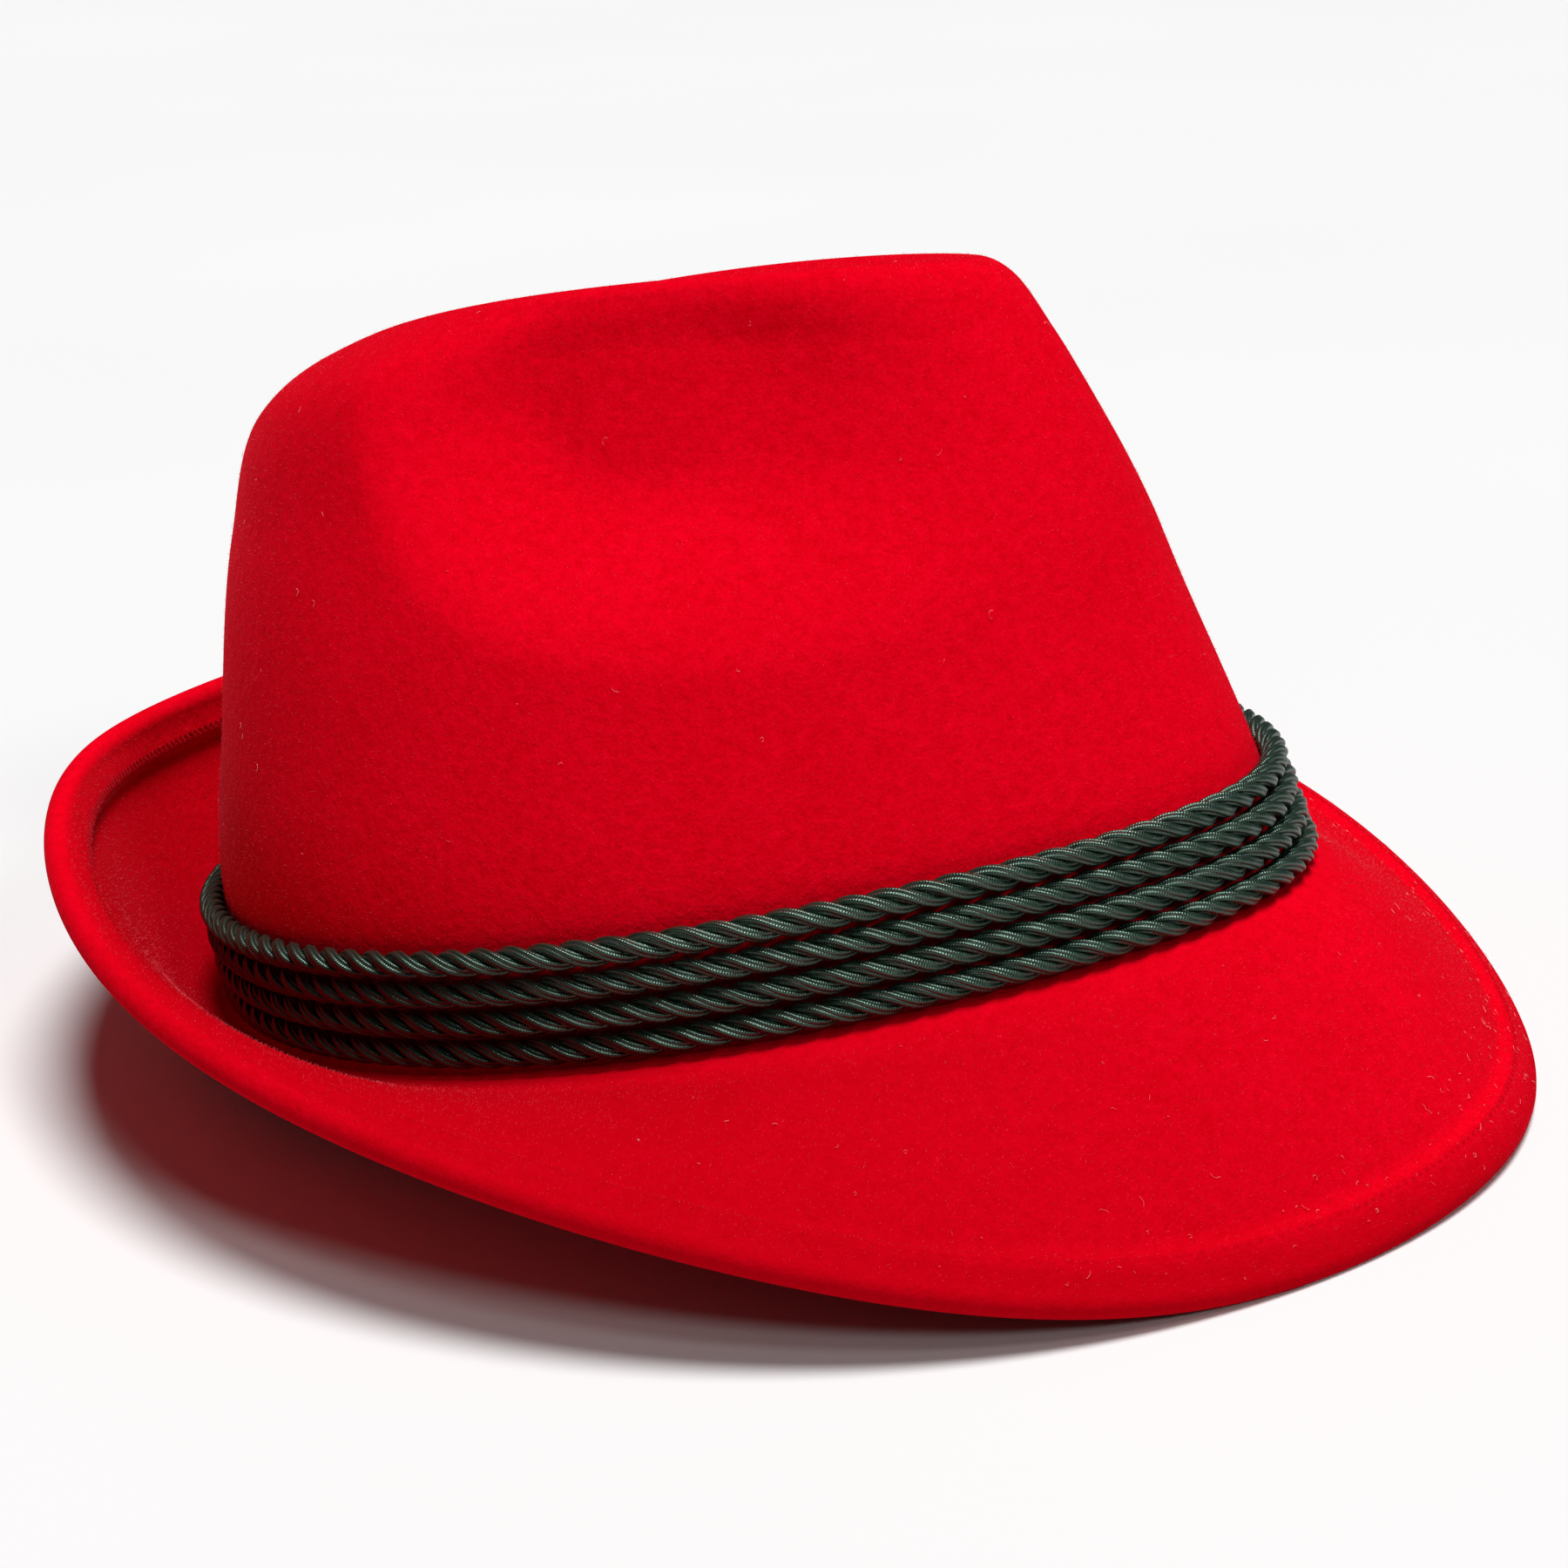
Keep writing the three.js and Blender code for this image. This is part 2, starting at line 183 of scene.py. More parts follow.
def row_at(distance):
    """The crown row at a distance down from the crease, and its number, on a smooth curve."""
    gaps = np.diff(ROW_AT)
    rates = np.diff(CROWN_ROWS, axis=0) / gaps[:, None]
    slopes = np.zeros_like(CROWN_ROWS)
    inner = rates[:-1] * gaps[1:, None] + rates[1:] * gaps[:-1, None]
    slopes[1:-1] = inner / (gaps[:-1] + gaps[1:])[:, None]
    slopes[0], slopes[-1] = rates[0], rates[-1]
    i = int(np.clip(np.searchsorted(ROW_AT, distance, side="right") - 1, 0, len(gaps) - 1))
    u = (distance - ROW_AT[i]) / gaps[i]
    row = (2 * u**3 - 3 * u**2 + 1) * CROWN_ROWS[i] + (u**3 - 2 * u**2 + u) * gaps[i] * slopes[i]
    row = row + (3 * u**2 - 2 * u**3) * CROWN_ROWS[i + 1]
    return row + (u**3 - u**2) * gaps[i] * slopes[i + 1], i + u


def crown_points(distance, t):
    """A ring of the crown, with the pinched side dents and the lean to one side."""
    row, number = row_at(distance)
    points = ring_points(row, t)
    dent = SIDE_DENT
    tilt = math.radians(dent["tilt"])
    dy, dz = points[:, 1] - dent["y"], points[:, 2] - dent["z"]
    along = dy * math.cos(tilt) + dz * math.sin(tilt)
    upward = dz * math.cos(tilt) - dy * math.sin(tilt)
    along = along / np.where(along < 0, dent["to_front"], dent["to_back"])
    upward = upward / np.where(upward < 0, dent["to_foot"], dent["to_top"])
    bowl = 1 - smoothstep(np.hypot(along, upward), dent["flat"], 1)
    fade = smoothstep(number, dent["start_row"], dent["full_row"])
    points[:, 0] -= np.clip(points[:, 0] / dent["full_x"], -1, 1) * dent["depth"] * bowl * fade
    lean = smoothstep(points[:, 2], CROWN_LEAN["from_z"], CROWN_LEAN["full_z"])
    points[:, 2] -= CROWN_LEAN["drop"] * lean * points[:, 0]
    return points


def polar(length, degrees):
    angle = np.radians(degrees)
    return np.stack([length * np.cos(angle), length * np.sin(angle)], axis=-1)


def bezier(controls, u):
    v = 1 - u
    start = v**3 * controls[0] + 3 * v * v * u * controls[1]
    return start + 3 * v * u * u * controls[2] + u**3 * controls[3]


def brim_curves(t):
    """Control points of the fillet and of the brim, as distance out from the crown and
    height, and the width of the brim."""
    width = around_sections(WIDTH, t)
    root_slope = around_sections(ROOT, t)
    foot = CROWN_ROWS[-1][FRONT_Z]
    flat = np.zeros_like(t)
    root = np.stack([flat + ROOT_OUT, flat], axis=-1)
    edge = root + polar(width, around_sections(ANGLE, t))
    fillet = [
        np.stack([flat, flat + foot], axis=-1),
        np.stack([flat, flat + foot * FILLET_DROP], axis=-1),
        root - polar(ROOT_OUT * FILLET_REACH, root_slope),
        root,
    ]
    brim = [
        root,
        root + polar(width * ROOT_REACH, root_slope),
        edge - polar(width * EDGE_REACH, around_sections(EDGE, t)),
        edge,
    ]
    return fillet, brim, width


def welt_rise(distance):
    """Height of the folded welt above the plain felt at a distance from its cut edge."""
    shoulder = float(smoothstep(distance, *WELT_STEP))
    roll = max(0, (distance - ROLL_START) / (WELT_WIDTH - ROLL_START)) ** 2
    return WELT_RISE * shoulder + roll * (EDGE_RADIUS - WELT_RISE)


def felt_rows():
    """Centre surface of the felt: its rows of points, how far the outer side stands above
    each, and the distance of each row past the cut edge of the welt."""
    t = 2 * np.pi * np.arange(COLUMNS) / COLUMNS
    rows, rises, past_cut = [], [], []
    for k in range(CROWN_STEPS):
        rows.append(crown_points(ROW_AT[-1] * k / CROWN_STEPS, t))
        rises.append(0)
        past_cut.append(BREAK_PAST + (CREASE_PAST - BREAK_PAST) * (1 - k / CROWN_STEPS))
    fillet, brim, width = brim_curves(t)
    foot = CROWN_ROWS[-1]
    base, out = ring_points(foot, t), ring_outward(foot, t)

    def place(flat, rise, distance):
        points = base + out * flat[:, :1]
        points[:, 2] = flat[:, 1]
        rows.append(points)
        rises.append(rise)
        past_cut.append(distance)

    for k in range(FILLET_STEPS):
        place(bezier(fillet, k / FILLET_STEPS), 0, BREAK_PAST)
    share = (1 - WELT_WIDTH / width)[:, None]
    for k in range(BRIM_STEPS + 1):
        place(bezier(brim, share * k / BRIM_STEPS), 0, BRIM_PAST * (1 - k / BRIM_STEPS))
    for distance in WELT_PLACES:
        u = share + (1 - share) * distance / WELT_WIDTH
        place(bezier(brim, u), welt_rise(distance), distance)
    return np.array(rows), np.array(rises), np.array(past_cut)


def surface_normals(rows):
    """Normals of the centre surface. The first row is the crease, where both sides meet:
    column j lies on column COLUMNS - j and takes the same normal."""
    across = np.empty_like(rows)
    across[1:-1] = rows[2:] - rows[:-2]
    across[-1] = rows[-1] - rows[-2]
    along = np.roll(rows, -1, axis=1) - np.roll(rows, 1, axis=1)
    half = COLUMNS // 2
    for j in range(COLUMNS):
        side = {0: 1, half: half - 1}.get(j, j)
        across[0, j] = rows[1, side] - rows[1, COLUMNS - side]
        along[0, j] = (0, 1 if j <= half else -1, 0)
    return unit(np.cross(across, along))


# ---------------------------------------------------------------- resting on the floor

TIP = np.array(Matrix.Rotation(-REST_TILT, 3, "X"))


def resting_shift(points):
    """Move that centres tipped points in Y and presses the lowest a little below the floor."""
    tipped = points @ TIP.T
    low, high = tipped.min(axis=0), tipped.max(axis=0)
    return np.array([0, -(low[1] + high[1]) / 2, -low[2] - FLOOR_PRESS])


def at_rest(points):
    return points @ TIP.T + REST_SHIFT


centre_rows, rises, past_cut = felt_rows()
centre_normals = surface_normals(centre_rows)
outer_rows = centre_rows + centre_normals * rises[:, None, None]
inner_rows = centre_rows - centre_normals * FELT_WALL
REST_SHIFT = resting_shift(np.concatenate([outer_rows, inner_rows]).reshape(-1, 3))

# ---------------------------------------------------------------- meshes

# corners of a cell of a grid, as steps down and along, in the order that faces outward
DOWN_FIRST = ((0, 0), (1, 0), (1, 1), (0, 1))
ALONG_FIRST = ((0, 0), (0, 1), (1, 1), (1, 0))


def cell_corners(grid, order):
    """What a grid holds at the four corners of each of its cells."""
    down, along = grid.shape[0] - 1, grid.shape[1] - 1
    return np.stack([grid[i:i + down, j:j + along] for i, j in order], axis=2)


def mesh_object(name, points, faces, material, smooth=True, uv=None):
    """A mesh piece from points in millimetres. uv is one pair for each corner of each face."""
    mesh = bpy.data.meshes.new(name)
    mesh.from_pydata((points * MM).tolist(), [], faces)
    if uv is not None:
        layer = mesh.uv_layers.new(name="lay")
        layer.uv.foreach_set("vector", np.asarray(uv, dtype=np.float32).ravel())
    mesh.materials.append(material)
    mesh.polygons.foreach_set("use_smooth", [smooth] * len(mesh.polygons))
    piece = bpy.data.objects.new(name, mesh)
    bpy.context.scene.collection.objects.link(piece)
    return piece


# ---------------------------------------------------------------- materials
# A noise is its scale, detail and roughness. A range is the two values that a ramp starts
# and ends at, and a ramp written whole is that and the two values that it gives.

FELT_FIBRES, FELT_PATCHES, FELT_CLOUDS = (1900, 3, 0.6), (520, 3, 0.6), (60, 2, 0.5)
FELT_SHARES = (0.5, 0.38, 0.12)                 # of the three noises in the felt's tone
FELT_TONES = (0.36, 0.66)
FELT_DEEP = (0.58, 0.0003, 0.005, 1)
FELT_BRIGHT = (0.80, 0.0006, 0.015, 1)
# painted shade in the stitch groove of the welt
FELT_GROOVE_SHADE = (0.22, 0.0004, 0.002, 1)
FELT_PAINTED_SHADE = (0.30, 0.0003, 0.003, 1)         # painted shade on the brim's right side, its rim and underside
FELT_SHEEN = (1.0, 0.06, 0.09, 1)
FELT_BUMP = 0.0005
FIBRE_HEIGHT, PATCH_HEIGHT = 0.16, 0.5

STITCH_SWAY = 0.28
STITCH_DASH = (-0.5, 0.3, 0.35, 1)
GROOVE_HALF_WIDTH = 0.7
GROOVE_SHADE_SHARE = 0.45
FAINT_AT = 295                                  # degrees round, where the groove and its painted shade are faintest
FAINT_RAMP = (0.2, 0.9, 0.75, 0.25)
SHADE_AT = (262, 317)                         # middle of the painted shade on the brim and on its rim
SHADE_TURN = (2, 7)                           # past the cut edge, where the middle moves
SHADE_SPREAD = (-0.1, 0.9)
SHADE_START = (-50, -30)                      # from the break to the brim
SHADE_SHARE = 0.6

SPECKLE_TONES = (0.35, 0.65)
NAP_DARK, NAP_LIGHT = (0.60, 0.006, 0.014, 1), (0.84, 0.035, 0.06, 1)
NAP_SHEEN = (1, 0.4, 0.45, 1)
LINT_DARK, LINT_LIGHT = (0.80, 0.10, 0.13, 1), (0.90, 0.34, 0.36, 1)
FLOOR_DARK, FLOOR_LIGHT = (0.735, 0.735, 0.735, 1), (0.745, 0.745, 0.745, 1)

CORD_WOBBLE, CORD_MOTTLE = (700, 2, 0.5), (500, 3, 0.6)
CORD_TONES = (0.3, 0.7)
CORD_DEEP = (0.004, 0.012, 0.008, 1)
CORD_LIT = (0.013, 0.036, 0.022, 1)
# painted shade in the furrows between the yarns and between the ribs
CORD_FURROW_SHADE = (0.001, 0.002, 0.0015, 1)
CORD_GLINT = (0.7, 1.0, 0.82, 1)
CORD_BUMP = 0.00017
RIB_SWAY, RIB_HEIGHT = 2.4, 0.1
LOBE_FURROW = (0.1, 0.65, 0.95, 0)
RIB_FURROW = (-1.0, 0.4, 0.7, 0)
CORD_ROUGHNESS = (0, 0.8, 0.25, 0.45)           # from the crests into the furrows


class Nodes:
    """Builds a node material: calls make nodes, and inputs are linked or set by name."""

    def __init__(self, name):
        self.material = bpy.data.materials.new(name)
        self.material.use_nodes = True
        self.tree = self.material.node_tree
        self.shader = self.tree.nodes["Principled BSDF"]

    def add(self, kind, inputs=None, **settings):
        node = self.tree.nodes.new(kind)
        for key, value in settings.items():
            setattr(node, key, value)
        for key, value in (inputs or {}).items():
            self.put(node.inputs[key], value)
        return node

    def put(self, socket, value):
        if isinstance(value, bpy.types.NodeSocket):
            self.tree.links.new(value, socket)
        else:
            socket.default_value = value

    def surface(self, inputs):
        for key, value in inputs.items():
            self.put(self.shader.inputs[key], value)

    def place(self):
        return self.add("ShaderNodeTexCoord").outputs["Object"]

    def lay(self):
        """The pair that a mesh carries in its own UV map."""
        uv = self.add("ShaderNodeUVMap", uv_map="lay").outputs["UV"]
        pair = self.add("ShaderNodeSeparateXYZ", {"Vector": uv})
        return pair.outputs["X"], pair.outputs["Y"]

    def math(self, operation, *values):
        node = self.add("ShaderNodeMath", operation=operation)
        for socket, value in zip(node.inputs, values):
            self.put(socket, value)
        return node.outputs[0]

    def plus(self, total, *others):
        for value in others:
            total = self.math("ADD", total, value)
        return total

    def times(self, a, b):
        return self.math("MULTIPLY", a, b)

    def noise(self, place, scale, detail=2.0, roughness=0.5):
        inputs = {"Vector": place, "Scale": scale, "Detail": detail, "Roughness": roughness}
        return self.add("ShaderNodeTexNoise", inputs).outputs["Fac"]

    def ramp(self, value, low, high, out_low, out_high):
        inputs = {
            "Value": value, "From Min": low, "From Max": high,
            "To Min": out_low, "To Max": out_high,
        }
        return self.add("ShaderNodeMapRange", inputs).outputs["Result"]

    def mix(self, share, a, b):
        node = self.add("ShaderNodeMix", data_type="RGBA")
        self.put(node.inputs["Factor"], share)
        self.put(node.inputs["A"], a)
        self.put(node.inputs["B"], b)
        return node.outputs["Result"]

    def bump(self, height, depth):
        node = self.add("ShaderNodeBump", {"Height": height, "Distance": depth})
        self.put(self.shader.inputs["Normal"], node.outputs["Normal"])


def stitch_at(degrees):
    """Number of the stitch at an angle round the hat."""
    return STITCHES * degrees / 360


def felt_material():
    """Mottled red nap with painted shade over the right side of the brim, its rim and
    underside, and a groove pressed along the stitches of the welt, darkened with painted shade."""
    m = Nodes("red_felt")
    place = m.place()
    stitch, past_cut = m.lay()

    def facing(middle):
        """1 at a stitch of the edge, falling to -1 on the far side of the hat."""
        turn = m.times(m.math("SUBTRACT", stitch, middle), 2 * math.pi / STITCHES)
        return m.math("COSINE", turn)

    fine = m.noise(place, *FELT_FIBRES)
    patch = m.noise(place, *FELT_PATCHES)
    cloud = m.noise(place, *FELT_CLOUDS)
    parts = zip((fine, patch, cloud), FELT_SHARES)
    tone = m.plus(*(m.times(part, share) for part, share in parts))
    red = m.mix(m.ramp(tone, *FELT_TONES, 0, 1), FELT_DEEP, FELT_BRIGHT)

    # painted shade: darker colour round the brim's right side, its rim and underside
    middle = m.ramp(past_cut, *SHADE_TURN, *(stitch_at(degrees) for degrees in SHADE_AT))
    zone = m.ramp(facing(middle), *SHADE_SPREAD, 0, 1)
    painted_shade = m.times(zone, m.ramp(past_cut, *SHADE_START, 0, 1))
    red = m.mix(m.times(painted_shade, SHADE_SHARE), red, FELT_PAINTED_SHADE)

    # the stitch groove: a dent in the bump, and painted shade darkening its colour
    wave = m.math("SINE", m.times(stitch, 2 * math.pi))
    line = m.plus(m.times(wave, STITCH_SWAY), STITCH_LINE)
    off_line = m.math("ABSOLUTE", m.math("SUBTRACT", past_cut, line))
    pressed = m.times(m.ramp(facing(stitch_at(FAINT_AT)), *FAINT_RAMP), m.ramp(wave, *STITCH_DASH))
    groove = m.times(m.ramp(off_line, 0, GROOVE_HALF_WIDTH, 1, 0), pressed)

    m.surface({
        "Base Color": m.mix(m.times(groove, GROOVE_SHADE_SHARE), red, FELT_GROOVE_SHADE),
        "Roughness": 1.0,
        "Specular IOR Level": 0.0,
        "Sheen Weight": 0.22,
        "Sheen Roughness": 0.3,
        "Sheen Tint": FELT_SHEEN,
    })
    height = m.plus(m.times(fine, FIBRE_HEIGHT), m.times(patch, PATCH_HEIGHT))
    m.bump(m.math("SUBTRACT", height, groove), FELT_BUMP)
    return m.material


def speckled_material(name, dark, light, scale, roughness, sheen=0.0, tint=(1, 1, 1, 1)):
    m = Nodes(name)
    share = m.ramp(m.noise(m.place(), scale), *SPECKLE_TONES, 0, 1)
    m.surface({
        "Base Color": m.mix(share, dark, light),
        "Roughness": roughness,
        "Sheen Weight": sheen,
        "Sheen Tint": tint,
    })
    return m.material


def cord_material():
    """Satin thread wound tightly round the yarns: ribs run across the yarns, which lie side
    by side with furrows between them, darkened with painted shade."""
    m = Nodes("green_cord")
    place = m.place()
    along, lobe = m.lay()
    winding = m.plus(m.times(along, 2 * math.pi / RIB_PITCH), m.times(lobe, 2 * math.pi))
    rib = m.math("SINE", m.plus(winding, m.times(m.noise(place, *CORD_WOBBLE), RIB_SWAY)))
    crest = m.math("ABSOLUTE", m.math("COSINE", m.times(lobe, math.pi)))
    thread = m.mix(m.ramp(m.noise(place, *CORD_MOTTLE), *CORD_TONES, 0, 1), CORD_DEEP, CORD_LIT)
    # the furrows get painted shade in the colour and a rougher finish
    furrow = m.math("MAXIMUM", m.ramp(crest, *LOBE_FURROW), m.ramp(rib, *RIB_FURROW))
    m.surface({
        "Base Color": m.mix(furrow, thread, CORD_FURROW_SHADE),
        "Roughness": m.ramp(furrow, *CORD_ROUGHNESS),
        "Specular IOR Level": 1.0,
        "Specular Tint": CORD_GLINT,
    })
    m.bump(m.plus(m.times(rib, RIB_HEIGHT), m.math("POWER", crest, LOBE_POWER)), CORD_BUMP)
    return m.material


red_felt = felt_material()
nap_red = speckled_material("nap", NAP_DARK, NAP_LIGHT, 700, 0.9, 0.5, NAP_SHEEN)
lint_pink = speckled_material("lint", LINT_DARK, LINT_LIGHT, 500, 0.8, 0.3)
green_cord = cord_material()

# ---------------------------------------------------------------- felt


def felt_shell():
    """Outer side, rounded edge and underside as one closed skin, and the distance of each
    row past the cut edge of the welt."""
    last, normal = centre_rows[-1], centre_normals[-1]
    outward = unit(last - centre_rows[-2])
    turns = np.pi * np.arange(1, EDGE_STEPS) / EDGE_STEPS
    edge = [last + EDGE_RADIUS * (np.sin(a) * outward + np.cos(a) * normal) for a in turns]
    lip = last - EDGE_RADIUS * normal
    # the underside spans the welt in one step, and has every other row inside the crown
    plain = CROWN_STEPS + FILLET_STEPS + BRIM_STEPS + 1
    kept = [i for i in range(plain) if i % 2 == 0 or i > CROWN_STEPS]
    rows = np.concatenate([outer_rows, np.array([*edge, lip]), inner_rows[kept][::-1]])
    past = [past_cut, np.full(EDGE_STEPS, WELT_WIDTH), np.full(len(kept), UNDERSIDE_PAST)]
    return rows, np.concatenate(past)


def skin_faces(row_count):
    """Vertex numbers of a skin whose first and last rows are zipped along the crease, as a
    table of vertices to keep and the quads between them."""
    columns = np.arange(COLUMNS)
    number = np.empty((row_count, COLUMNS), dtype=int)
    keep = []
    for i in range(row_count):
        zipped = i in (0, row_count - 1)
        number[i] = len(keep) + (np.minimum(columns, COLUMNS - columns) if zipped else columns)
        keep += [(i, j) for j in range(COLUMNS // 2 + 1 if zipped else COLUMNS)]
    closed = np.pad(number, ((0, 0), (0, 1)), mode="wrap")
    return np.array(keep), cell_corners(closed, DOWN_FIRST).reshape(-1, 4)


def felt_piece():
    skin, past = felt_shell()
    keep, quads = skin_faces(len(skin))
    points = skin[keep[:, 0], keep[:, 1]]
    zipped = (keep[:, 0] == 0) | (keep[:, 0] == len(skin) - 1)
    points[zipped, 0] = 0
    points = at_rest(points)
    points[:, 2] = np.maximum(points[:, 2], 0)
    lay = np.stack(np.meshgrid(np.arange(COLUMNS + 1) * STITCHES / COLUMNS, past), axis=-1)
    uv = cell_corners(lay, DOWN_FIRST)
    hat = mesh_object("felt_hat", points, quads.tolist(), red_felt, uv=uv)
    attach(hat, "root")
    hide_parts("felt_body")


felt_piece()

# ---------------------------------------------------------------- nap and lint

NAP_LENGTH, NAP_WIDTH = 0.55, 0.035
NAP_ROOT = 0.1                  # how deep a hair starts in the felt
NAP_SHARES = (0.5, 1.0)         # of the full length
NAP_LEANS = (0.2, 1.1)
FIBRE_RADIUS = 0.038
FIBRE_PARTS, FIBRE_SIDES = 7, 3
FIBRE_LIFT = 0.25               # of its start above the felt
FIBRE_FLOOR = 0.02              # least height above the floor
FIBRE_LENGTHS = (0.6, 2.2)
FIBRE_CURL, FIBRE_WANDER = 0.55, 0.25
FIBRE_RISE = (0.02, 0.12)       # mean and spread
GATHER_AT = 0.3                 # radians round from the front, where gathered lint is thickest
BRIM_START = CROWN_STEPS + FILLET_STEPS
LAST_ROW = len(centre_rows) - 1

outer_points = at_rest(outer_rows)
outer_normals = centre_normals @ TIP.T


def scatter(count, first_row, last_row, gather=0):
    """Random places on the outer side, even by area or gathered toward the front: points,
    normals and directions along and across the rows."""
    grid = outer_points[first_row:last_row + 1]
    step_a = np.roll(grid, -1, axis=1)[:-1] - grid[:-1]
    step_b = grid[1:] - grid[:-1]
    toward_front = (1 + np.cos(2 * np.pi * np.arange(COLUMNS) / COLUMNS - GATHER_AT)) / 2
    area = np.linalg.norm(np.cross(step_a, step_b), axis=-1)
    weight = (area * toward_front ** gather).ravel()
    cell = rng.choice(len(weight), size=count, p=weight / weight.sum())
    i, j = np.divmod(cell, COLUMNS)
    a, b = rng.random((2, count, 1))
    place = grid[i, j] + step_a[i, j] * a + step_b[i, j] * b
    normal = outer_normals[first_row + i, j]
    along = unit(step_a[i, j])
    return place, normal, along, np.cross(normal, along)


def triangle(first, second, radius):
    """Three offsets evenly round a circle that two directions span."""
    angles = (0, 2 * math.pi / 3, 4 * math.pi / 3)
    return [radius * (first * math.cos(a) + second * math.sin(a)) for a in angles]


def spikes(name, count, first_row, last_row, material):
    """Short upstanding hairs, each a closed three-sided spike."""
    place, normal, along, across = scatter(count, first_row, last_row)
    heading = rng.random((count, 1)) * 2 * np.pi
    lean = rng.uniform(*NAP_LEANS, (count, 1))
    tip = unit(normal + lean * (along * np.cos(heading) + across * np.sin(heading)))
    tip *= NAP_LENGTH * rng.uniform(*NAP_SHARES, (count, 1))
    root = place - normal * NAP_ROOT
    corners = [root + offset for offset in triangle(along, across, NAP_WIDTH)]
    points = np.stack([*corners, place + tip], axis=1).reshape(-1, 3)
    points[:, 2] = np.maximum(points[:, 2], 0)
    first = 4 * np.arange(count)[:, None]
    sides = ((0, 2, 1), (0, 1, 3), (1, 2, 3), (2, 0, 3))
    faces = np.concatenate([first + np.array(side) for side in sides]).tolist()
    piece = mesh_object(name, points, faces, material)
    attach(piece, "root")


def fibre_faces(start):
    """Faces of one closed fibre whose first vertex has the number start."""
    faces = []
    for k in range(FIBRE_PARTS):
        ring = start + k * FIBRE_SIDES
        for s in range(FIBRE_SIDES):
            a, b = ring + s, ring + (s + 1) % FIBRE_SIDES
            faces.append((a, b, b + FIBRE_SIDES, a + FIBRE_SIDES))
    end = start + FIBRE_PARTS * FIBRE_SIDES
    return faces + [(start + 2, start + 1, start), (end, end + 1, end + 2)]


def lint_fibres(name, count, first_row, last_row, material, gather=0):
    """Loose curled fibres that lie on the nap, each a thin three-sided tube."""
    place, normal, along, across = scatter(count, first_row, last_row, gather)
    length = rng.uniform(*FIBRE_LENGTHS, (count, 1)) * rng.choice([1.0, 0.5], (count, 1))
    heading = rng.random((count, 1)) * 2 * np.pi
    curl = rng.normal(0, FIBRE_CURL, (count, 1))
    spots = [place + normal * FIBRE_LIFT]
    for _ in range(FIBRE_PARTS):
        heading = heading + curl + rng.normal(0, FIBRE_WANDER, (count, 1))
        rise = normal * rng.normal(*FIBRE_RISE, (count, 1))
        step = along * np.cos(heading) + across * np.sin(heading) + rise
        spots.append(spots[-1] + step * length / FIBRE_PARTS)
    ring = np.stack(triangle(normal, across, FIBRE_RADIUS), axis=1)
    points = (np.stack(spots, axis=1)[:, :, None] + ring[:, None]).reshape(-1, 3)
    points[:, 2] = np.maximum(points[:, 2], FIBRE_FLOOR)
    size = (FIBRE_PARTS + 1) * FIBRE_SIDES
    faces = [face for n in range(count) for face in fibre_faces(n * size)]
    piece = mesh_object(name, points, faces, material)
    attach(piece, "root")


spikes("crown_nap", 24000, 0, CROWN_STEPS - 8, nap_red)
spikes("brim_nap", 22000, BRIM_START + 3, LAST_ROW, nap_red)
lint_fibres("crown_lint", 80, 4, CROWN_STEPS - 20, lint_pink)
lint_fibres("brim_lint", 60, BRIM_START + 4, LAST_ROW - 6, lint_pink, gather=2)
lint_fibres("edge_lint", 150, LAST_ROW - 18, LAST_ROW, lint_pink, gather=5)

# ---------------------------------------------------------------- cords


def cord_centre(number, t):
    """Centre line of a cord: it lies against the crown wall at its own height."""
    z = CORD_LOWEST_Z + number * around(*CORD_PITCH, t)
    top, foot = CROWN_ROWS[-2], CROWN_ROWS[-1]
    share = np.clip((top[FRONT_Z] - z) / (top[FRONT_Z] - foot[FRONT_Z]), 0, 1)[:, None]
    points = ring_points(top, t) * (1 - share) + ring_points(foot, t) * share
    points += ring_outward(foot, t) * (CORD_RADIUS + CORD_GAP)
    points[:, 2] = z
    return points


def loop_tangents(points):
    return unit(np.roll(points, -1, axis=0) - np.roll(points, 1, axis=0))


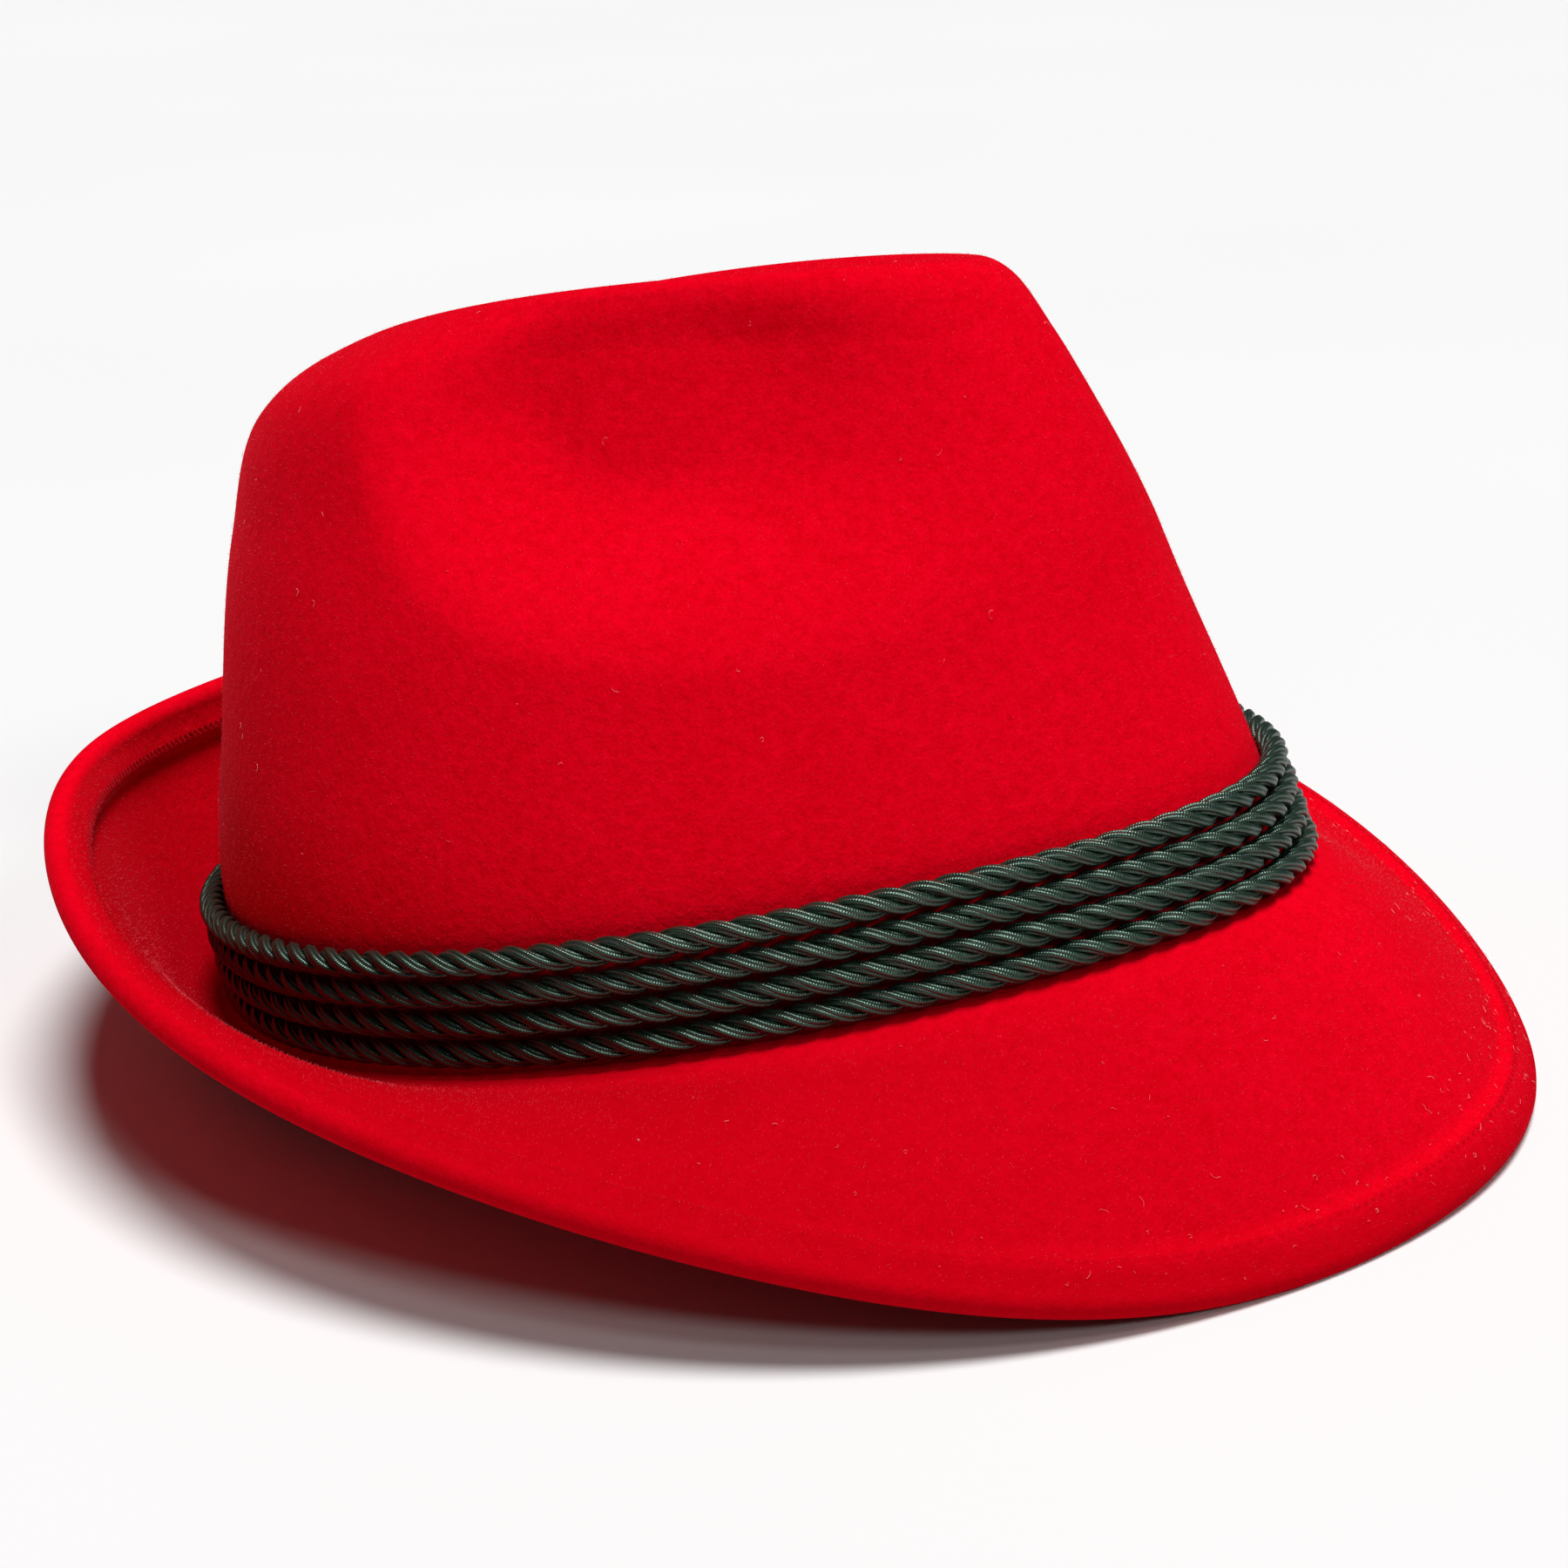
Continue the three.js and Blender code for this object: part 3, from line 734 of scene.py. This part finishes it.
def cord_piece(number):
    """Three strands twisted round a cord's centre line, each lobed by its own yarns. Strands
    and yarns make whole turns, so that the loop closes."""
    centre = cord_centre(number, 2 * np.pi * np.arange(CORD_STEPS) / CORD_STEPS)
    along = loop_tangents(centre)
    out = unit(np.cross(along, np.array([0, 0, 1.0])))
    up = np.cross(out, along)
    steps = np.linalg.norm(np.roll(centre, -1, axis=0) - centre, axis=1)
    run = np.concatenate([[0], np.cumsum(steps)])
    turns = round(run[-1] / CORD_LEAD)
    yarn_turns = round(YARNS * run[-1] / YARN_LEAD)
    start = rng.random() * 2 * np.pi
    section = 2 * np.pi * np.arange(STRAND_SIDES) / STRAND_SIDES
    cos_section = np.cos(section)[None, :, None]
    sin_section = np.sin(section)[None, :, None]
    lobe = YARNS * np.arange(STRAND_SIDES + 1) / STRAND_SIDES
    lobe = lobe - (yarn_turns * run / run[-1])[:, None]
    crest = np.abs(np.cos(np.pi * lobe[:-1, :-1])) ** LOBE_POWER
    radius = STRAND_RADIUS * (1 - LOBE_DEPTH + LOBE_DEPTH * crest)[..., None]
    lay = np.stack([np.repeat(run[:, None], STRAND_SIDES + 1, axis=1), lobe], axis=-1)
    vertices = np.arange(CORD_STEPS * STRAND_SIDES).reshape(CORD_STEPS, STRAND_SIDES)
    quads = cell_corners(np.pad(vertices, (0, 1), mode="wrap"), ALONG_FIRST).reshape(-1, 4)
    points, faces = [], []
    for strand in range(STRANDS):
        angle = start + 2 * np.pi * (strand / STRANDS - turns * run[:-1] / run[-1])
        ray = out * np.cos(angle)[:, None] + up * np.sin(angle)[:, None]
        line = centre + ray * STRAND_OFFSET
        side = unit(np.cross(loop_tangents(line), ray))
        ring = ray[:, None] * cos_section + side[:, None] * sin_section
        points.append((line[:, None] + radius * ring).reshape(-1, 3))
        faces.append(quads + strand * vertices.size)
    name = f"cord_{number + 1}"
    piece = mesh_object(
        f"twisted_{name}", at_rest(np.concatenate(points)), np.concatenate(faces).tolist(),
        green_cord, uv=[cell_corners(lay, ALONG_FIRST)] * STRANDS,
    )
    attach(piece, "root")
    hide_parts(name)


for number in range(CORD_COUNT):
    cord_piece(number)

# ---------------------------------------------------------------- floor, light and camera

FLOOR_HALF = 15000

floor_white = speckled_material("floor_white", FLOOR_DARK, FLOOR_LIGHT, 3, 0.9)
floor_points = np.array([(-1, -1, 0), (1, -1, 0), (1, 1, 0), (-1, 1, 0)]) * FLOOR_HALF
floor = mesh_object("floor", floor_points, [(0, 1, 2, 3)], floor_white, smooth=False)


def direction(azimuth, elevation):
    """From the hat outward. Azimuth 0 is the hat's front, -90 its right side."""
    a, e = math.radians(azimuth), math.radians(elevation)
    return Vector((math.sin(a) * math.cos(e), -math.cos(a) * math.cos(e), math.sin(e)))


def soft_sun(name, azimuth, elevation, spread, strength):
    """A far soft light."""
    light = bpy.data.lights.new(name, "SUN")
    light.angle = math.radians(spread)
    light.energy = strength
    lamp = bpy.data.objects.new(name, light)
    lamp.rotation_euler = direction(azimuth, elevation).to_track_quat("Z", "Y").to_euler()
    bpy.context.scene.collection.objects.link(lamp)


soft_sun("overhead_light", 0, 84, 24, 3.5)
soft_sun("right_light", -50, 60, 10, 0.25)
soft_sun("front_light", -28, 36, 11, 0.5)

world = bpy.data.worlds.new("studio")
bpy.context.scene.world = world
world.use_nodes = True
background = world.node_tree.nodes["Background"]
background.inputs["Color"].default_value = (1, 1, 1, 1)
background.inputs["Strength"].default_value = 0.04

EYE = (-515.22, -283.37, 222.0)         # tipped with the hat, before it is put on the floor
VIEW_AZIMUTH, VIEW_ELEVATION, VIEW_ROLL = -61.0, 19.81, -1.2
LENS = 80.86
SHIFT = (0.0267, 0.0460)

camera = bpy.data.cameras.new("camera")
camera.sensor_width = 36
camera.lens = LENS
camera.shift_x, camera.shift_y = SHIFT
camera.clip_start, camera.clip_end = 0.01, 100
eye = bpy.data.objects.new("camera", camera)
look = (-direction(VIEW_AZIMUTH, VIEW_ELEVATION)).to_track_quat("-Z", "Y").to_matrix()
roll = Matrix.Rotation(math.radians(VIEW_ROLL), 3, "Z")
place = Matrix.Translation(Vector((np.array(EYE) + REST_SHIFT) * MM))
eye.matrix_world = place @ (look @ roll).to_4x4()
bpy.context.scene.collection.objects.link(eye)
bpy.context.scene.camera = eye
bpy.context.scene.view_settings.view_transform = "Standard"
